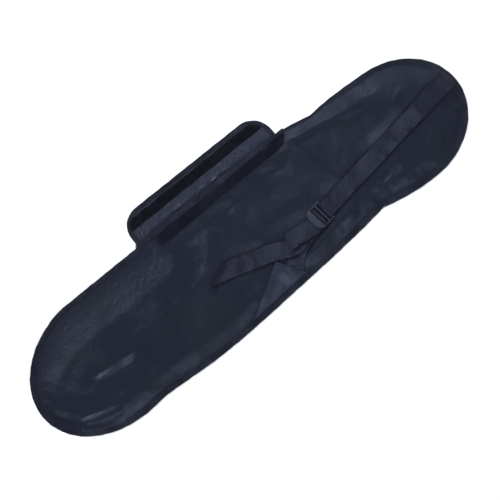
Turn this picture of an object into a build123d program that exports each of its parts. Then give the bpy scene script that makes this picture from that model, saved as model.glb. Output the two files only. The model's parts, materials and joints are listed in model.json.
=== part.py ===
"""Carry bag for a long skate board: a flat fabric sleeve with a side flap and a shoulder strap.

The bag lies on its back panel. +X runs along the bag to its narrow head end, +Y points to the side with the
flap, +Z is up, and the origin is the middle of the back panel's underside. Millimetres.
"""
import os
from math import atan2, cos, degrees, hypot, radians, sin

from build123d import *

# --- driving dimensions of the sleeve -------------------------------------------------------------------
foot_centre_x = -354.0        # centre of the wide, half-elliptical foot end
foot_reach = 180.0            # from that centre to the foot's tip
foot_half_width = 135.0
foot_turn = 7.0               # degrees; the foot's tip leans to the low side
low_bulge = (-230.0, -137.0)  # the widest place of the lower side
head_centre_x = 384.0         # centre of the narrower head end
head_reach = 150.0
head_half_width = 126.0
waist_x = 262.0               # the pinched waist between body and head
waist_low_y = -109.0
waist_high_y = 127.0
body_low_y = -131.5           # the straight-ish lower side, half way along the body
body_high_x = 196.0           # where the upper side starts to dip to the waist
body_high_y = 138.5

cloth = 1.0                   # coated fabric with its seam allowance
tape = 0.8                    # woven binding tape
binding_width = 12.0          # the tape folded over the edge
slope_end_inset = 34.0        # the front panel rises from the seam to this inset
sleeve_height = 14.0          # top of the empty, lightly puffed sleeve
seam_low_z = tape             # underside of the back panel's sewn edge
seam_mid_z = tape + cloth     # where the two panels meet
seam_top_z = tape + 2 * cloth
outside = 600.0               # clear of the whole bag, for cuts

# --- side mouth and flap --------------------------------------------------------------------------------
mouth_start_x = -176.0
mouth_end_x = 200.0
mouth_y = 142.0               # the mouth's edge, and the line the flap folds about
mouth_rise = 26.0             # length over which the front panel climbs at each end of the mouth
mouth_shelf_y = 60.0          # from here to the mouth the front panel is level
mouth_zone_low_y = 100.0      # the bag's sewn edge at the mouth lies between these two lines
mouth_zone_high_y = 150.0
flap_start_x = -172.0
flap_end_x = 183.0
flap_gap = 1.0
flap_outer_y = 200.0
flap_corner = 45.0
flap_binding_width = 10.0
hook_start_x = -135.0
hook_end_x = 172.0
hook_width = 20.0
hook_centre_y = 117.0
loop_start_x = -137.0
loop_end_x = 149.0
loop_width = 20.0
loop_centre_y = 178.0
fastener = 1.2                # thickness of the hook tape and of the loop tape

# --- shoulder strap -------------------------------------------------------------------------------------
webbing_width = 38.0
webbing = 1.5
stitch_end_margin = 2.0       # a thread row stops this far from the webbing's edge
stitch_height = 0.4
stitch_length = 1.2
wide_strap_width = 41.0
wide_strap = 1.4
strap_root = (517.0, 12.0)    # middle of the strap's sewn end
strap_heading = 188.4         # degrees, the way the strap runs from the root
strap_rest = 0.5              # air under the resting strap
root_height = 6.4             # underside of the strap at its root, over the sloping panel
root_climb = 17.5             # run over which the strap climbs to the flat top
wide_strap_length = 110.0
overlap_start = 86.0          # the webbing is sewn on top of the wide strap from here
overlap_step = 12.0
overlap_row_margin = 4.0      # from the overlap's ends to its thread rows
climb_bend = 18.0             # bend radius where the strap reaches the flat top
soft_bend = 8.0               # bend radius at a layer step
close_bend = 3.0              # bend radius behind the buckle's fixed bar
layer_gap = 0.05              # air between two layers of one strap

# --- ladder-lock buckle ---------------------------------------------------------------------------------
buckle_station = 355.0        # distance of the fixed bar from the strap's root
bar_radius = 2.0
bar_gap = 0.2                 # air between a bar and the webbing round it
buckle_slot = 41.0
buckle_width = 46.0
middle_bar_x = 9.0
middle_bar_width = 3.0
middle_bar_height = 2.2
middle_bar_lift = 0.9         # its middle, over the fixed bar's centre
rail_overhang = 3.0           # the side rails reach past the two outer bars
grip_bar_x = 18.0
tab_start_x = 23.2
tab_reach = 37.0
tab_thickness = 2.2
tab_start_rise = 0.6          # the pull tab climbs away from the bag
tab_tip_rise = 2.4
tab_corner = 9.0
wrap_clearance = 0.4          # from the main webbing up to the wrap's two ends
wrap_tail_rise = 0.6
leg_end_offset = 4.5          # the load leg ends this far past the middle bar
loop_return = 19.0            # length of webbing sewn back on itself
loop_step = 9.0               # over this run the loop closes behind the bar
loop_rows = (2.0, 6.0)        # thread rows, from the sewn-back end

# --- adjuster webbing -----------------------------------------------------------------------------------
leg_root = (48.0, -86.5)      # middle of the load leg's end at the anchor tab
tail_heading = 172.0
tail_start = 30.0             # the tail comes clear of the grip bar this far from the fixed bar
tail_rest = 0.3
tail_front_length = 58.0      # from there to the tail's folded edge
tail_fold_back = 24.0
tail_length = 231.0           # from there to the tip
layer = 2.0                   # spacing of stacked webbing layers
tail_root_lift = 0.3
tail_level_run = 14.0         # the front part is level to here, and climbs to the next
tail_climb_end = 34.0
tail_step_start = 22.0        # past the fold, the long part steps down onto the sleeve
tail_step_end = 34.0
tail_climb_bend = 20.0
fold_bend = layer / 2 - 0.02

# --- anchor tab -----------------------------------------------------------------------------------------
tab_peak = (25.0, -58.0)
tab_near_corner = (59.0, -113.0)
tab_far_corner = (-82.0, -122.0)
tab_cloth = 0.9
tab_rest = 0.05               # air between the tab and the front panel
tab_stitch_rows = (4.0, 9.0)  # from the tab's free edge
tab_row_taper = 2.6           # a row gets shorter by this much for each step from the edge
tab_row_shift = 0.2

thread = 0.3                  # how far a stitch line stands proud
thread_width = 1.0
stitch_margin = 2.0           # from the inner edge of a binding to its stitch line


def bag_outline(inset, height):
    """The closed outline of the sleeve at a height, moved in by `inset`."""
    foot_half = foot_half_width - inset
    head_half = head_half_width - inset
    low_waist = (waist_x, waist_low_y + inset)
    high_waist = (waist_x, waist_high_y - inset)
    high_body = (body_high_x, body_high_y - inset)
    with BuildSketch(Plane.XY.offset(height)) as outline:
        with BuildLine():
            foot = EllipticalCenterArc(
                (foot_centre_x, 0), foot_reach - inset, foot_half, 90, arc_size=180, rotation=foot_turn
            )
            Spline(
                foot @ 1, (low_bulge[0], low_bulge[1] + inset), (0, body_low_y + inset), low_waist,
                tangents=[foot % 1, (1, 0.14)],
            )
            Spline(low_waist, (head_centre_x, -head_half), tangents=[(1, -0.3), (1, 0)])
            EllipticalCenterArc((head_centre_x, 0), head_reach - inset, head_half, 270, arc_size=180)
            Spline((head_centre_x, head_half), high_waist, tangents=[(-1, 0.1), (-1, -0.1)])
            Spline(high_waist, high_body, tangents=[(-1, 0.15), (-1, 0.05)])
            Line(high_body, foot @ 0)
        make_face()
    return outline.sketch


def fill_edge(inset, low_z, high_z, mode=Mode.ADD):
    """Add or cut the whole sleeve outline between two heights."""
    extrude(bag_outline(inset, low_z), amount=high_z - low_z, mode=mode)


def fill_crown(lift, mode=Mode.ADD):
    """Add or cut the puffed shape under the front panel, its top moved by `lift`."""
    low = bag_outline(binding_width, seam_top_z + lift)
    high = bag_outline(slope_end_inset, sleeve_height + lift)
    loft([low, high], ruled=True, mode=mode)


def mouth_ramp(low_lift, high_lift, low_y, high_y, mode=Mode.ADD, floor=None):
    """Add or cut the band that runs over the mouth: up, level and down again."""
    ramp = [
        (mouth_start_x, seam_top_z),
        (mouth_start_x + mouth_rise, sleeve_height),
        (mouth_end_x - mouth_rise, sleeve_height),
        (mouth_end_x, seam_top_z),
    ]
    upper = [(x, z + high_lift) for x, z in ramp]
    if floor is None:
        lower = [(x, z + low_lift) for x, z in reversed(ramp)]
    else:
        lower = [(mouth_end_x, floor), (mouth_start_x, floor)]
    with BuildSketch(Plane.XZ.offset(-high_y)) as band:
        with BuildLine():
            Polyline(upper + lower, close=True)
        make_face()
    extrude(band.sketch, amount=high_y - low_y, mode=mode)


def slab(low, high, mode=Mode.ADD):
    """Add or cut a plain block between two opposite corners."""
    centre = tuple((a + b) / 2 for a, b in zip(low, high))
    size = [b - a for a, b in zip(low, high)]
    with Locations(centre):
        Box(*size, mode=mode)


def fill_flap(inset, low_z, high_z, mode=Mode.ADD):
    """Add or cut the flap's outline, moved in by `inset` on its three free sides."""
    near_y = mouth_y + flap_gap
    width = flap_end_x - flap_start_x - 2 * inset
    depth = flap_outer_y - near_y - inset
    with BuildSketch(Plane.XY.offset(low_z)) as outline:
        with Locations(((flap_start_x + flap_end_x) / 2, near_y + depth / 2)):
            Rectangle(width, depth)
        fillet(outline.vertices().group_by(Axis.Y)[-1], radius=flap_corner - inset)
    extrude(outline.sketch, amount=high_z - low_z, mode=mode)


def strip_side(route, bends, reach):
    """A route's corners moved `reach` to its left, with the bend radius that side needs at each."""
    steps = [Vector(b[0] - a[0], b[1] - a[1]).normalized() for a, b in zip(route, route[1:])]
    normals = [Vector(-step.Y, step.X) for step in steps]
    corners = [Vector(*route[0]) + normals[0] * reach]
    radii = []
    for point, before, after, step, bend in zip(route[1:-1], normals, normals[1:], steps, bends):
        corners.append(Vector(*point) + (before + after) * (reach / (1 + before.dot(after))))
        turns_left = step.dot(after) < 0
        radii.append(bend - reach if turns_left else bend + reach)
    corners.append(Vector(*route[-1]) + normals[-1] * reach)
    return corners, radii


def webbing_run(plane, route, bends, thickness, width):
    """Add a flat strip that follows a route drawn in an upright plane, with round bends."""
    left, left_radii = strip_side(route, bends, thickness / 2)
    right, right_radii = strip_side(route, bends, -thickness / 2)
    with BuildSketch(plane) as strip:
        with BuildLine():
            if bends:
                FilletPolyline(*left, radius=left_radii)
                FilletPolyline(*right, radius=right_radii)
            else:
                Line(*left)
                Line(*right)
            Line(left[0], right[0])
            Line(left[-1], right[-1])
        make_face()
    extrude(strip.sketch, amount=width / 2, both=True)


def stitch_row(plane, distance, height, length):
    """Add a low ridge of thread across a strip, lying on its top face."""
    with BuildSketch(plane) as thread:
        with Locations((distance, height + stitch_height / 2)):
            Rectangle(stitch_length, stitch_height)
    extrude(thread.sketch, amount=length / 2, both=True)


def save(part, name):
    part.label = name
    export_step(part, f"parts/{name}.step")


def run_plane(point, heading):
    """Upright plane: its x runs along the heading, its y is the height."""
    turn = radians(heading)
    return Plane(
        origin=(point[0], point[1], 0), x_dir=(cos(turn), sin(turn), 0), z_dir=(sin(turn), -cos(turn), 0)
    )


def along(point, heading, distance, side=0.0):
    """The place that lies `distance` along a heading, and `side` to its left."""
    turn = radians(heading)
    return (
        point[0] + distance * cos(turn) - side * sin(turn),
        point[1] + distance * sin(turn) + side * cos(turn),
    )


os.makedirs("parts", exist_ok=True)

# ===== sleeve: back panel, front panel, perimeter binding ================================================
# The back panel lies flat; its sewn edge steps up by one tape thickness to pass over the binding.
with BuildPart() as back_panel:
    fill_edge(tape, seam_low_z, seam_mid_z)
    fill_edge(binding_width + cloth, seam_low_z, seam_mid_z, Mode.SUBTRACT)
    slab(
        (mouth_start_x, mouth_zone_low_y, cloth), (mouth_end_x, mouth_zone_high_y, seam_mid_z), Mode.SUBTRACT
    )
    fill_edge(binding_width + 0.2, 0, cloth)
    slab((mouth_start_x, mouth_zone_low_y, 0), (mouth_end_x, mouth_y - flap_gap, cloth))
save(back_panel.part, "back_panel")

# The front panel's level top, with its free edge along the mouth. It and the border below are one cloth.
with BuildPart() as front_panel:
    fill_edge(slope_end_inset, sleeve_height - cloth, sleeve_height)
    slab(
        (mouth_start_x + mouth_rise, mouth_shelf_y, sleeve_height - cloth),
        (mouth_end_x - mouth_rise, mouth_y - tape, sleeve_height),
    )
save(front_panel.part, "front_panel")

# The same cloth's border: the flat sewn edge, the slope up to the top, and the mouth's two rising ends.
# It is drawn whole and kept on one side of the foot's centre line each time.
for border_name, cut_low_x, cut_high_x in (
    ("front_border_foot", foot_centre_x, outside),
    ("front_border_body", -outside, foot_centre_x),
):
    with BuildPart() as front_border:
        fill_edge(tape, seam_mid_z, seam_top_z)
        fill_crown(0)
        mouth_ramp(0, 0, mouth_shelf_y, mouth_y - tape, floor=seam_mid_z)
        fill_crown(-cloth, Mode.SUBTRACT)
        mouth_ramp(0, -cloth, mouth_shelf_y, mouth_zone_high_y, Mode.SUBTRACT, floor=cloth)
        fill_edge(slope_end_inset, 0, 2 * sleeve_height, Mode.SUBTRACT)
        slab(
            (mouth_start_x + mouth_rise, mouth_shelf_y, 0),
            (mouth_end_x - mouth_rise, mouth_zone_high_y, 2 * sleeve_height),
            Mode.SUBTRACT,
        )
        slab((cut_low_x, -outside, 0), (cut_high_x, outside, 2 * sleeve_height), Mode.SUBTRACT)
    save(front_border.part, border_name)

# Woven tape folded over both panels' edges, all round except along the mouth.
with BuildPart() as perimeter_binding:
    fill_edge(0, 0, seam_top_z + tape)
    fill_edge(tape, seam_low_z, seam_top_z, Mode.SUBTRACT)
    fill_edge(binding_width, 0, seam_top_z + tape, Mode.SUBTRACT)
    slab(
        (mouth_start_x, mouth_zone_low_y, 0),
        (mouth_end_x, mouth_zone_high_y, 2 * seam_top_z),
        Mode.SUBTRACT,
    )
save(perimeter_binding.part, "perimeter_binding")

# The stitch line that holds tape and panels together.
with BuildPart() as perimeter_stitching:
    row_inset = binding_width - stitch_margin - thread_width
    fill_edge(row_inset, seam_top_z + tape, seam_top_z + tape + thread)
    fill_edge(binding_width - stitch_margin, seam_top_z, 2 * seam_top_z, Mode.SUBTRACT)
    slab(
        (mouth_start_x, mouth_zone_low_y, 0),
        (mouth_end_x, mouth_zone_high_y, 2 * seam_top_z),
        Mode.SUBTRACT,
    )
save(perimeter_stitching.part, "perimeter_stitching")

# ===== mouth of the sleeve ===============================================================================
# Tape folded over the front panel's free edge.
with BuildPart() as mouth_binding:
    mouth_ramp(-cloth - tape, tape, mouth_y - binding_width, mouth_y)
    mouth_ramp(-cloth, 0, mouth_y - binding_width, mouth_y - tape, Mode.SUBTRACT)
save(mouth_binding.part, "mouth_binding")

mouth_stitch_y = mouth_y - binding_width + stitch_margin
with BuildPart() as mouth_stitching:
    mouth_ramp(tape, tape + thread, mouth_stitch_y, mouth_stitch_y + thread_width)
save(mouth_stitching.part, "mouth_stitching")

with BuildPart() as mouth_hook_tape:
    slab(
        (hook_start_x, hook_centre_y - hook_width / 2, sleeve_height),
        (hook_end_x, hook_centre_y + hook_width / 2, sleeve_height + fastener),
    )
save(mouth_hook_tape.part, "mouth_hook_tape")

# ===== flap, lying open beside the mouth =================================================================
with BuildPart() as flap_cloth:
    fill_flap(tape, seam_low_z, seam_mid_z)
save(flap_cloth.part, "flap_cloth")

# Binding on the flap's three free sides.
with BuildPart() as flap_binding:
    fill_flap(0, 0, seam_mid_z + tape)
    fill_flap(tape, seam_low_z, seam_mid_z, Mode.SUBTRACT)
    fill_flap(flap_binding_width, 0, seam_mid_z + tape, Mode.SUBTRACT)
save(flap_binding.part, "flap_binding")

flap_top_z = seam_mid_z + tape
with BuildPart() as flap_stitching:
    fill_flap(flap_binding_width - stitch_margin - thread_width, flap_top_z, flap_top_z + thread)
    fill_flap(flap_binding_width - stitch_margin, flap_top_z - 1, flap_top_z + 1, Mode.SUBTRACT)
save(flap_stitching.part, "flap_stitching")

with BuildPart() as flap_loop_tape:
    slab(
        (loop_start_x, loop_centre_y - loop_width / 2, seam_mid_z),
        (loop_end_x, loop_centre_y + loop_width / 2, seam_mid_z + fastener),
    )
save(flap_loop_tape.part, "flap_loop_tape")

# ===== shoulder strap ====================================================================================
strap_plane = run_plane(strap_root, strap_heading)
strap_floor = sleeve_height + strap_rest

# The wide, smooth upper strap, sewn under the binding at the head's tip.
wide_middle = wide_strap / 2
with BuildPart() as wide_strap_section:
    webbing_run(
        strap_plane,
        [
            (0, root_height + wide_middle),
            (root_climb, strap_floor + wide_middle),
            (wide_strap_length, strap_floor + wide_middle),
        ],
        [climb_bend],
        wide_strap,
        wide_strap_width,
    )
save(wide_strap_section.part, "wide_strap_section")

# Main webbing: sewn on the wide strap, then down to the bag, round the buckle's fixed bar and back.
webbing_middle = webbing / 2
bar_height = strap_floor + webbing + bar_gap + bar_radius
wrap_radius = bar_radius + bar_gap + webbing_middle
low_run = strap_floor + webbing_middle
overlap_run = strap_floor + wide_strap + layer_gap + webbing_middle
return_run = low_run + webbing + layer_gap
loop_bend = wrap_radius - 0.02
with BuildPart() as shoulder_webbing:
    webbing_run(
        strap_plane,
        [
            (overlap_start, overlap_run),
            (wide_strap_length + 2, overlap_run),
            (wide_strap_length + 2 + overlap_step, low_run),
            (buckle_station + wrap_radius, low_run),
            (buckle_station + wrap_radius, bar_height + wrap_radius),
            (buckle_station - webbing, bar_height + wrap_radius),
            (buckle_station - loop_step, return_run),
            (buckle_station - loop_return, return_run),
        ],
        [soft_bend, soft_bend, loop_bend, loop_bend, close_bend, close_bend],
        webbing,
        webbing_width,
    )
save(shoulder_webbing.part, "shoulder_webbing")

# Thread rows that hold the webbing on the wide strap, and the loop closed.
row_width = webbing_width - 2 * stitch_end_margin
with BuildPart() as overlap_stitching:
    for row in (overlap_start + overlap_row_margin, wide_strap_length - overlap_row_margin):
        stitch_row(strap_plane, row, overlap_run + webbing_middle, row_width)
save(overlap_stitching.part, "overlap_stitching")

with BuildPart() as loop_stitching:
    for row in loop_rows:
        row_station = buckle_station - loop_return + row
        stitch_row(strap_plane, row_station, return_run + webbing_middle, row_width)
save(loop_stitching.part, "loop_stitching")

# ===== ladder-lock buckle ================================================================================
# Flat moulded frame with a fixed bar, a middle bar and a grip bar, and a raised pull tab.
buckle_place = along(strap_root, strap_heading, buckle_station)
turn = radians(strap_heading)
buckle_plane = Plane(
    origin=(buckle_place[0], buckle_place[1], bar_height),
    x_dir=(cos(turn), sin(turn), 0),
    z_dir=(0, 0, 1),
)
buckle_across = run_plane(buckle_place, strap_heading)
rail_width = (buckle_width - buckle_slot) / 2
with BuildPart() as ladder_lock_buckle:
    with BuildSketch(buckle_plane.offset(-bar_radius)):
        for side in (-1, 1):
            with Locations((grip_bar_x / 2, side * (buckle_slot + rail_width) / 2)):
                Rectangle(grip_bar_x + 2 * rail_overhang, rail_width)
    extrude(amount=2 * bar_radius)
    with BuildSketch(buckle_across):
        for bar_x in (0, grip_bar_x):
            with Locations((bar_x, bar_height)):
                Circle(bar_radius)
        with Locations((middle_bar_x, bar_height + middle_bar_lift)):
            Rectangle(middle_bar_width, middle_bar_height)
    extrude(amount=buckle_slot / 2 + rail_width / 2, both=True)
    with BuildSketch(buckle_across):
        with BuildLine():
            Polyline(
                (grip_bar_x, bar_height + bar_radius),
                (tab_start_x, bar_height + bar_radius + tab_start_rise),
                (tab_reach, bar_height + bar_radius + tab_tip_rise),
                (tab_reach, bar_height + bar_radius + tab_tip_rise - tab_thickness),
                (tab_start_x, bar_height + bar_radius + tab_start_rise - tab_thickness),
                (grip_bar_x, bar_height + bar_radius - tab_thickness),
                close=True,
            )
        make_face()
    extrude(amount=buckle_width / 2, both=True)
    with BuildSketch(buckle_plane):
        with Locations(((grip_bar_x + tab_start_x) / 2, 0)):
            Rectangle(tab_start_x - grip_bar_x, buckle_slot)
    extrude(amount=2 * bar_radius, both=True, mode=Mode.SUBTRACT)
    with BuildSketch(buckle_across):
        with Locations((grip_bar_x, bar_height)):
            Circle(bar_radius)
    extrude(amount=buckle_slot / 2, both=True)
    outer_corners = ladder_lock_buckle.edges().filter_by(Axis.Z).sort_by(
        lambda edge: (edge.center() - buckle_plane.origin).dot(buckle_plane.x_dir)
    )[-2:]
    fillet(outer_corners, radius=tab_corner)
save(ladder_lock_buckle.part, "ladder_lock_buckle")

# ===== adjuster webbing: one strip on the real bag, in three pieces here because it bends ================
# Over the grip bar.
wrap_low = strap_floor + webbing + wrap_clearance
with BuildPart() as webbing_wrap:
    webbing_run(
        buckle_across,
        [
            (grip_bar_x - wrap_radius, wrap_low),
            (grip_bar_x - wrap_radius, bar_height + wrap_radius),
            (grip_bar_x + wrap_radius, bar_height + wrap_radius),
            (grip_bar_x + wrap_radius, wrap_low + wrap_tail_rise),
        ],
        [loop_bend, loop_bend],
        webbing,
        webbing_width,
    )
save(webbing_wrap.part, "webbing_wrap")

# The load leg runs from the anchor tab to the buckle's underside.
leg_target = along(strap_root, strap_heading, buckle_station + middle_bar_x + leg_end_offset)
leg_length = hypot(leg_target[0] - leg_root[0], leg_target[1] - leg_root[1])
leg_heading = degrees(atan2(leg_target[1] - leg_root[1], leg_target[0] - leg_root[0]))
leg_plane = run_plane(leg_root, leg_heading)
leg_run = sleeve_height + tail_rest + webbing_middle
with BuildPart() as load_leg:
    webbing_run(leg_plane, [(0, leg_run), (leg_length, leg_run)], [], webbing, webbing_width)
save(load_leg.part, "load_leg")

# The free tail: out below the tab, folded under itself once, then along the bag to its tip.
tail_root = along(strap_root, strap_heading, buckle_station + tail_start)
tail_plane = run_plane(tail_root, tail_heading)
tail_low = leg_run + layer
with BuildPart() as strap_tail:
    webbing_run(
        tail_plane,
        [
            (0, tail_low + tail_root_lift),
            (tail_level_run, tail_low + tail_root_lift),
            (tail_climb_end, tail_low + 2 * layer),
            (tail_front_length, tail_low + 2 * layer),
            (tail_front_length, tail_low + layer),
            (tail_front_length - tail_fold_back, tail_low + layer),
            (tail_front_length - tail_fold_back, tail_low),
            (tail_front_length + tail_step_start, tail_low),
            (tail_front_length + tail_step_end, leg_run),
            (tail_length, leg_run),
        ],
        [
            tail_climb_bend, tail_climb_bend, fold_bend, fold_bend, fold_bend, fold_bend,
            soft_bend, soft_bend,
        ],
        webbing,
        webbing_width,
    )
save(strap_tail.part, "strap_tail")

# ===== anchor tab ========================================================================================
# Triangular cloth tab, caught in the side seam, lying over the front panel.
with BuildPart() as anchor_tab:
    fill_crown(tab_cloth + tab_rest)
    fill_crown(tab_rest, Mode.SUBTRACT)
    with BuildSketch():
        with BuildLine():
            Polyline(tab_peak, tab_near_corner, tab_far_corner, close=True)
        make_face()
    extrude(amount=2 * sleeve_height, mode=Mode.INTERSECT)
save(anchor_tab.part, "anchor_tab")

# Two rows of thread across the tab's hem, which also hold the load leg.
tab_edge_length = hypot(tab_near_corner[0] - tab_peak[0], tab_near_corner[1] - tab_peak[1])
tab_edge_heading = degrees(atan2(tab_near_corner[1] - tab_peak[1], tab_near_corner[0] - tab_peak[0]))
with BuildPart() as tab_stitching:
    fill_crown(tab_cloth + thread + tab_rest)
    fill_crown(tab_cloth + tab_rest, Mode.SUBTRACT)
    with BuildSketch():
        for row in tab_stitch_rows:
            row_length = tab_edge_length - tab_row_taper * row
            row_middle = tab_edge_length / 2 + tab_row_shift * row
            with Locations(along(tab_peak, tab_edge_heading, row_middle, -row)):
                Rectangle(row_length, thread_width, rotation=tab_edge_heading)
    extrude(amount=2 * sleeve_height, mode=Mode.INTERSECT)
save(tab_stitching.part, "tab_stitching")
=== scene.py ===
"""Looks of a flat board bag with a side flap and a webbing shoulder strap. Metres, in the CAD's frame."""
import json
from math import cos, pi, radians, sin

import bmesh
import bpy
import numpy as np
from mathutils import Matrix, Vector, kdtree, noise


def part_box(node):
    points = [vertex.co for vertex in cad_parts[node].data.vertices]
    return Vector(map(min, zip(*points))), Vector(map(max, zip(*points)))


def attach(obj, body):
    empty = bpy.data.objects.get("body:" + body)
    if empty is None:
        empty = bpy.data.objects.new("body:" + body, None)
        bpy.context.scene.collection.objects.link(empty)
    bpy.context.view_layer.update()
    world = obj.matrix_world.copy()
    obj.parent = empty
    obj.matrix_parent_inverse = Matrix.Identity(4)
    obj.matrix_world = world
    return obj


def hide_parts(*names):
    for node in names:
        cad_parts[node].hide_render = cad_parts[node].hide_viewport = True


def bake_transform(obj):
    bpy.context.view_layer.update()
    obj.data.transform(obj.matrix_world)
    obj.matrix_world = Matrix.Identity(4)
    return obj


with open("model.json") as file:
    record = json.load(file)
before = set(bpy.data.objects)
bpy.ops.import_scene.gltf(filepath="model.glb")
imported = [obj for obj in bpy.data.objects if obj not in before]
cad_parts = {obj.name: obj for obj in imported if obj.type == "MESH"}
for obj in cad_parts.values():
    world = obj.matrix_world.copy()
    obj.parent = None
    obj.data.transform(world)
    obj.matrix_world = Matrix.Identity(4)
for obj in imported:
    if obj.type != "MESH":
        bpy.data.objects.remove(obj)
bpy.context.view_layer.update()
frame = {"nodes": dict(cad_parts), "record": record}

# ---------------------------------------------------------------------------------------------------------
# Studio: a pale floor under the bag, three wide soft boxes, a small narrow lamp on the waist's long crease,
# a dim fill, and a camera straight above. The bag lies across the view, its head end to the upper right.
bag_turn_in_view = radians(38.6)
view_width = 1.0
camera_height = 3.2
floor_low = -0.0006

bpy.ops.object.select_all(action="DESELECT")
bpy.ops.mesh.primitive_plane_add(size=14, location=(0, 0, floor_low))
floor = bpy.context.object
floor.name = "floor"
floor_paint = bpy.data.materials.new("pale_floor")
floor_paint.use_nodes = True
floor_shader = floor_paint.node_tree.nodes["Principled BSDF"]
floor_shader.inputs["Base Color"].default_value = (0.94, 0.94, 0.94, 1)
floor_shader.inputs["Roughness"].default_value = 0.95
floor_shader.inputs["Specular IOR Level"].default_value = 0.1
floor.data.materials.append(floor_paint)

camera_data = bpy.data.cameras.new("camera")
camera_data.lens = camera_data.sensor_width * camera_height / view_width
camera = bpy.data.objects.new("camera", camera_data)
camera.location = (-0.001, -0.009, camera_height)
camera.rotation_euler = (0, 0, -bag_turn_in_view)
bpy.context.collection.objects.link(camera)
bpy.context.scene.camera = camera


def soft_box(name, place, width, height, power, colour, aim=(0, 0, 0), spread=pi):
    """A rectangular studio light that looks at a place on the bag."""
    data = bpy.data.lights.new(name, "AREA")
    data.shape = "RECTANGLE"
    data.size = width
    data.size_y = height
    data.energy = power
    data.color = colour
    data.spread = spread
    lamp = bpy.data.objects.new(name, data)
    lamp.location = place
    lamp.rotation_euler = (Vector(aim) - Vector(place)).to_track_quat("-Z", "Y").to_euler()
    bpy.context.collection.objects.link(lamp)


soft_box("key_light", (-0.7, 1.7, 2.2), 1.0, 0.7, 60, (0.93, 0.95, 1.0))
soft_box("head_light", (2.3, 0.6, 1.5), 1.2, 2.0, 26, (0.90, 0.93, 1.0))
soft_box("low_light", (-0.45, -1.75, 2.0), 2.4, 0.7, 36, (0.88, 0.92, 1.0))
soft_box("waist_light", (0.52, 1.15, 1.9), 0.45, 0.45, 0.32, (0.88, 0.92, 1.0),
         aim=(0.28, 0.10, 0), spread=radians(26))
world = bpy.data.worlds.new("studio")
world.use_nodes = True
world.node_tree.nodes["Background"].inputs["Color"].default_value = (0.90, 0.93, 1.0, 1)
world.node_tree.nodes["Background"].inputs["Strength"].default_value = 0.36
bpy.context.scene.world = world
bpy.context.scene.view_settings.view_transform = "Standard"

# ---------------------------------------------------------------------------------------------------------
# Sleeve: two panels of thin coated polyester, sewn together round the edge. Unlined, so the empty sleeve
# lies in soft dents and creases. The back panel runs on past the mouth and is the flap's cloth too.
cloth_cell = 0.005            # mesh spacing on the panels
cloth_thickness = 0.0005
panel_cover = 0.003           # the panels stop this far inside the outline, hidden in the binding
tape_cover = 0.0115           # the panels are held under the binding this far in
crown_start = 0.007           # the front panel starts to rise this far from the seam
crown_inset = 0.048           # and has risen to its full height this far from it
high_foot_slack = 1.1         # on the foot's high side it rises this much more slowly
crown_slack = 0.0052          # its middle height, under the sleeve's top
cloth_ceiling = 0.0134        # the straps lie just over this
sleeve_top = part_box("front_panel")[1][2]
tape_over_seam = 0.0008        # the binding's top stands this far over the cloth sewn into it
seam_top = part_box("perimeter_binding")[1][2] - tape_over_seam
mouth_low, mouth_high = (np.array(corner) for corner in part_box("mouth_binding"))
mouth_tape_width = mouth_high[1] - mouth_low[1]
flap_low, flap_high = (np.array(corner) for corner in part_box("flap_binding"))
joint_place = {joint["name"]: np.array(joint["pos_m"]) for joint in frame["record"]["behaviour"]["joints"]}
strap_root = joint_place["strap_lift"]
fixed_bar = joint_place["buckle_tilt"]


def along_path(path):
    """Distance of each point of a path from its first point."""
    return np.concatenate([[0], np.cumsum(np.linalg.norm(np.diff(path, axis=0), axis=1))])


def even_steps(points, step, closed=True):
    """The same path with evenly spaced points."""
    path = np.vstack([points, points[:1]]) if closed else np.asarray(points, dtype=float)
    lengths = along_path(path)
    count = max(2, int(round(lengths[-1] / step)))
    marks = np.linspace(0, lengths[-1], count + 1)[: count if closed else count + 1]
    return np.stack([np.interp(marks, lengths, path[:, k]) for k in range(path.shape[1])], axis=1)


def straight_run(start, end, step):
    """Evenly spaced points from one place to another."""
    return even_steps(np.array([start, end]), step, closed=False)


def rim_of(*nodes, stations=520, end_gap=0.004, step=0.002):
    """Closed outline of CAD nodes seen from above, from the foot end round by the low side."""
    starts, ends = [], []
    for node in nodes:
        mesh = frame["nodes"][node].data
        points = np.array([v.co[:2] for v in mesh.vertices])
        pairs = np.array([e.vertices[:] for e in mesh.edges])
        starts.append(points[pairs[:, 0]])
        ends.append(points[pairs[:, 1]])
    start, end = np.vstack(starts), np.vstack(ends)
    low_x, high_x = start[:, 0].min(), start[:, 0].max()
    xs = (low_x + high_x) / 2 - (high_x - low_x) / 2 * np.cos(np.linspace(end_gap, pi - end_gap, stations))
    low_side, high_side = [], []
    for x in xs:
        crossing = (start[:, 0] - x) * (end[:, 0] - x) < 0
        a, b = start[crossing], end[crossing]
        ys = a[:, 1] + (x - a[:, 0]) / (b[:, 0] - a[:, 0]) * (b[:, 1] - a[:, 1])
        low_side.append((x, ys.min()))
        high_side.append((x, ys.max()))
    return even_steps(np.array(low_side + high_side[::-1]), step)


def smooth(value, low, high):
    """0 below low, 1 above high, and an even S-curve between."""
    t = np.clip((np.asarray(value) - low) / (high - low), 0, 1)
    return t * t * (3 - 2 * t)


def ripple(marks, length, seed):
    """Uneven waves along a line, between about -1 and 1, with the given typical length."""
    marks = np.asarray(marks)
    waves = ((1.0, 0.5), (0.618, 0.3), (2.3, 0.35))
    return sum(
        size * np.sin(2 * pi * marks / (length * part) + seed * (1.7 + part)) for part, size in waves
    )


def distance_to(points, line):
    """Distance in plan from each point to the nearest point of a line."""
    nearest = np.empty(len(points))
    at_once = 1500
    for first in range(0, len(points), at_once):
        some = points[first:first + at_once, :2]
        apart = ((some[:, None] - line[None, :, :2]) ** 2).sum(-1)
        nearest[first:first + at_once] = np.sqrt(apart).min(1)
    return nearest


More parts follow.
